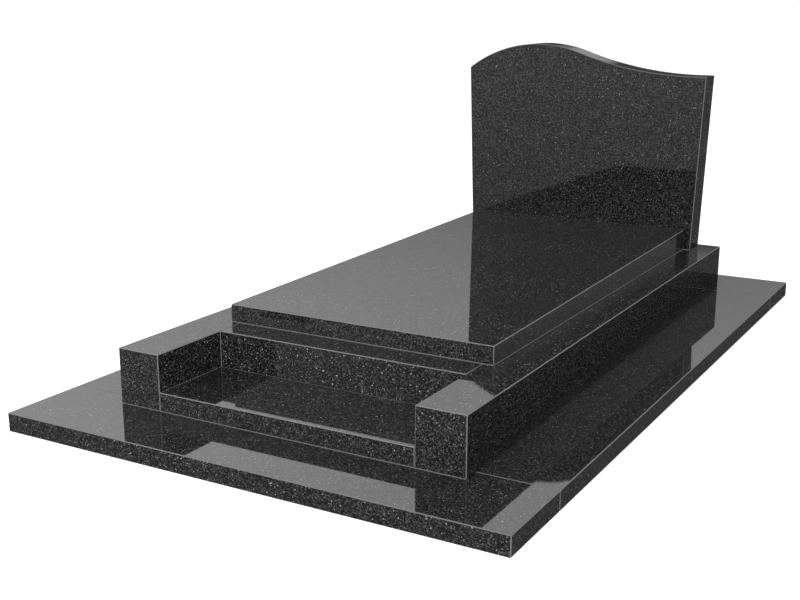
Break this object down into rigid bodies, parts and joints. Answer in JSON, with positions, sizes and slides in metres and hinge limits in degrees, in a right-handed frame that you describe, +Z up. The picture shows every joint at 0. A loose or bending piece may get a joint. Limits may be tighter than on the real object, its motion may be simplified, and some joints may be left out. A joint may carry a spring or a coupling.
{
  "type": "grave monument with headstone",
  "caption": "Polished black granite grave monument: flat base, raised kerbs with a flower bay, sloping ledger slab and an upright headstone with a wave top.",
  "frame": {"origin": "on the ground, under the middle of the base", "axes": "+Z up, +Y along the grave towards the headstone, +X to the right as seen from the foot end"},
  "size_m": [1.4, 2.4, 0.8976],
  "materials": {
    "polished_granite": "mirror polished, arrises honed"
  },
  "bodies": {
    "root": {"base_front": "polished_granite", "base_back": "polished_granite", "base_left": "polished_granite", "base_right": "polished_granite", "kerb_left": "polished_granite", "kerb_right": "polished_granite", "kerb_back": "polished_granite", "step_slab": "polished_granite", "front_panel": "polished_granite", "ledger": "polished_granite", "headstone": "polished_granite"}
  },
  "joints": []
}
